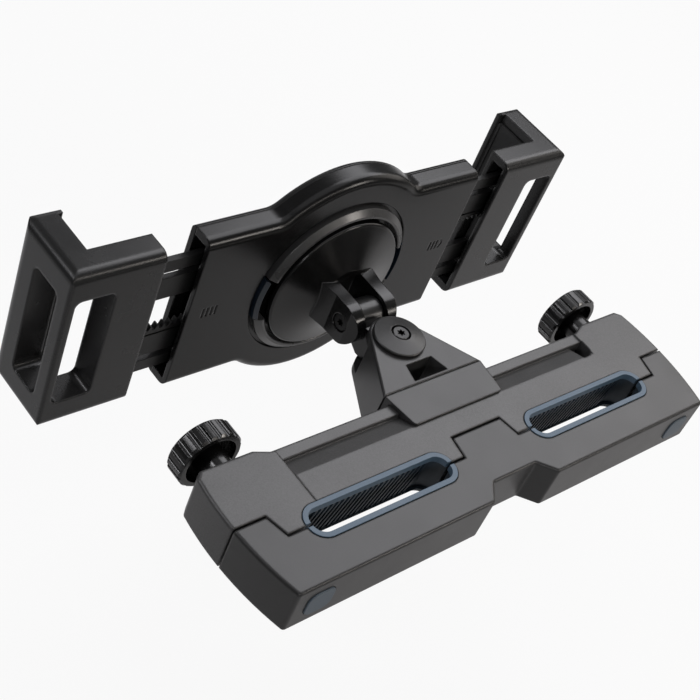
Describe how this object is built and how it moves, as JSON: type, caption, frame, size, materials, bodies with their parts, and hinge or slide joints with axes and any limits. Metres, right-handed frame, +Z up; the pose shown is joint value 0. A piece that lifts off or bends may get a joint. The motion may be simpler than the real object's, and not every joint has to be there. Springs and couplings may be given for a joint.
{
  "type": "headrest tablet mount",
  "caption": "Two-jaw clamp for headrest posts with a sliding arm, pan and tilt pivots, and a turning cradle whose hooked grips slide out to hold a tablet.",
  "frame": {"origin": "middle of the base, half way between the two post slots, on the line where the rear jaw meets the front jaw", "axes": "+X along the base towards the user's right as seen from the post side, +Y from the base back to the tablet, +Z up along the headrest posts"},
  "size_m": [0.264, 0.1629, 0.1066],
  "materials": {
    "rear_jaw_plastic": "fine grained",
    "front_jaw_plastic": "satin",
    "corner_rubber": "satin",
    "liner_rubber": "satin",
    "knob_plastic": "glossy",
    "screw_steel": "satin",
    "zinc_steel": "satin",
    "arm_plastic": "satin",
    "disc_plastic": "fine turned rings",
    "washer_nylon": "satin",
    "link_plastic": "satin",
    "hub_plastic": "satin",
    "cradle_plastic": "satin",
    "ring_plastic": "satin",
    "slide_plastic": "satin",
    "gear_nylon": "satin",
    "grip_plastic": "satin",
    "soft_pad": "matt"
  },
  "bodies": {
    "base": {"rear_jaw": "rear_jaw_plastic", "rail_end_cap": "rear_jaw_plastic", "end_cap_screw": "screw_steel", "rear_liner_left": "liner_rubber", "rear_liner_right": "liner_rubber"},
    "front_clamp": {"front_jaw": "front_jaw_plastic", "front_liner_left": "liner_rubber", "front_liner_right": "liner_rubber", "corner_pad_left": "corner_rubber", "corner_pad_right": "corner_rubber", "clamp_nut_left": "zinc_steel", "clamp_nut_right": "zinc_steel", "guide_pin_left": "zinc_steel", "guide_pin_right": "zinc_steel"},
    "knob_left": {"knob_left": "knob_plastic", "clamp_screw_left": "zinc_steel", "thrust_washer_left": "zinc_steel", "screw_collar_left": "zinc_steel"},
    "knob_right": {"knob_right": "knob_plastic", "clamp_screw_right": "zinc_steel", "thrust_washer_right": "zinc_steel", "screw_collar_right": "zinc_steel"},
    "carriage": {"carriage": "arm_plastic", "arm": "arm_plastic", "arm_screws": "screw_steel", "pivot_cap": "disc_plastic", "pivot_screw": "screw_steel", "pivot_nut": "zinc_steel", "pan_washers": "washer_nylon"},
    "link": {"link": "link_plastic"},
    "hub": {"hub": "hub_plastic", "tilt_screw": "screw_steel", "tilt_nut": "zinc_steel", "tilt_washers": "washer_nylon", "turntable_plate": "zinc_steel", "turntable_screws": "screw_steel"},
    "cradle": {"cradle_rear_shell": "cradle_plastic", "cradle_front_plate": "cradle_plastic", "cradle_screws": "screw_steel", "cradle_pads": "soft_pad", "collar_ring": "ring_plastic"},
    "release_tab_left": {"release_tab_left": "ring_plastic"},
    "release_tab_right": {"release_tab_right": "ring_plastic"},
    "grip_left": {"slide_left": "slide_plastic", "grip_left": "grip_plastic", "grip_pad_left": "soft_pad", "slide_screws_left": "screw_steel"},
    "grip_right": {"slide_right": "slide_plastic", "grip_right": "grip_plastic", "grip_pad_right": "soft_pad", "slide_screws_right": "screw_steel"},
    "sync_pinion": {"sync_pinion": "gear_nylon"}
  },
  "joints": [
    {"name": "knob_left_turn", "type": "hinge", "parent": "base", "child": "knob_left", "pos_m": [-0.1015, 0, 0], "axis": [0, 1, 0], "range_deg": [-72, 900]},
    {"name": "knob_right_turn", "type": "hinge", "parent": "base", "child": "knob_right", "pos_m": [0.1015, 0, 0], "axis": [0, 1, 0], "range_deg": [-72, 900]},
    {"name": "front_jaw_slide", "type": "slide", "parent": "base", "child": "front_clamp", "axis": [0, -1, 0], "range_m": [-0.0008, 0.01]},
    {"name": "carriage_slide", "type": "slide", "parent": "base", "child": "carriage", "axis": [1, 0, 0], "range_m": [-0.055, 0.055]},
    {"name": "arm_pan", "type": "hinge", "parent": "carriage", "child": "link", "pos_m": [0, 0.0595, 0], "axis": [0, 0, 1], "range_deg": [-18, 18]},
    {"name": "holder_tilt", "type": "hinge", "parent": "link", "child": "hub", "pos_m": [0, 0.0808, 0.005], "axis": [1, 0, 0], "range_deg": [-40, 40]},
    {"name": "holder_turn", "type": "hinge", "parent": "hub", "child": "cradle", "pos_m": [0, 0.1046, 0.005], "axis": [0, 1, 0], "continuous": true},
    {"name": "release_left", "type": "slide", "parent": "cradle", "child": "release_tab_left", "axis": [1, 0, 0], "range_m": [0, 0.002], "stiffness_N_per_m": 800, "springref_m": -0.001},
    {"name": "release_right", "type": "slide", "parent": "cradle", "child": "release_tab_right", "axis": [-1, 0, 0], "range_m": [0, 0.002], "stiffness_N_per_m": 800, "springref_m": -0.001},
    {"name": "grip_left_slide", "type": "slide", "parent": "cradle", "child": "grip_left", "axis": [-1, 0, 0], "range_m": [-0.018, 0.008]},
    {"name": "grip_right_slide", "type": "slide", "parent": "cradle", "child": "grip_right", "axis": [1, 0, 0], "range_m": [-0.018, 0.008]},
    {"name": "pinion_turn", "type": "hinge", "parent": "cradle", "child": "sync_pinion", "pos_m": [0, 0.111, 0.005], "axis": [0, 1, 0], "range_deg": [-171.89, 76.4]}
  ],
  "couplings": [
    {"joint": "knob_left_turn", "follows": "front_jaw_slide", "rad_per_m": 1570.8},
    {"joint": "knob_right_turn", "follows": "front_jaw_slide", "rad_per_m": 1570.8},
    {"joint": "grip_right_slide", "follows": "grip_left_slide", "ratio": 1},
    {"joint": "pinion_turn", "follows": "grip_left_slide", "rad_per_m": 166.67}
  ]
}
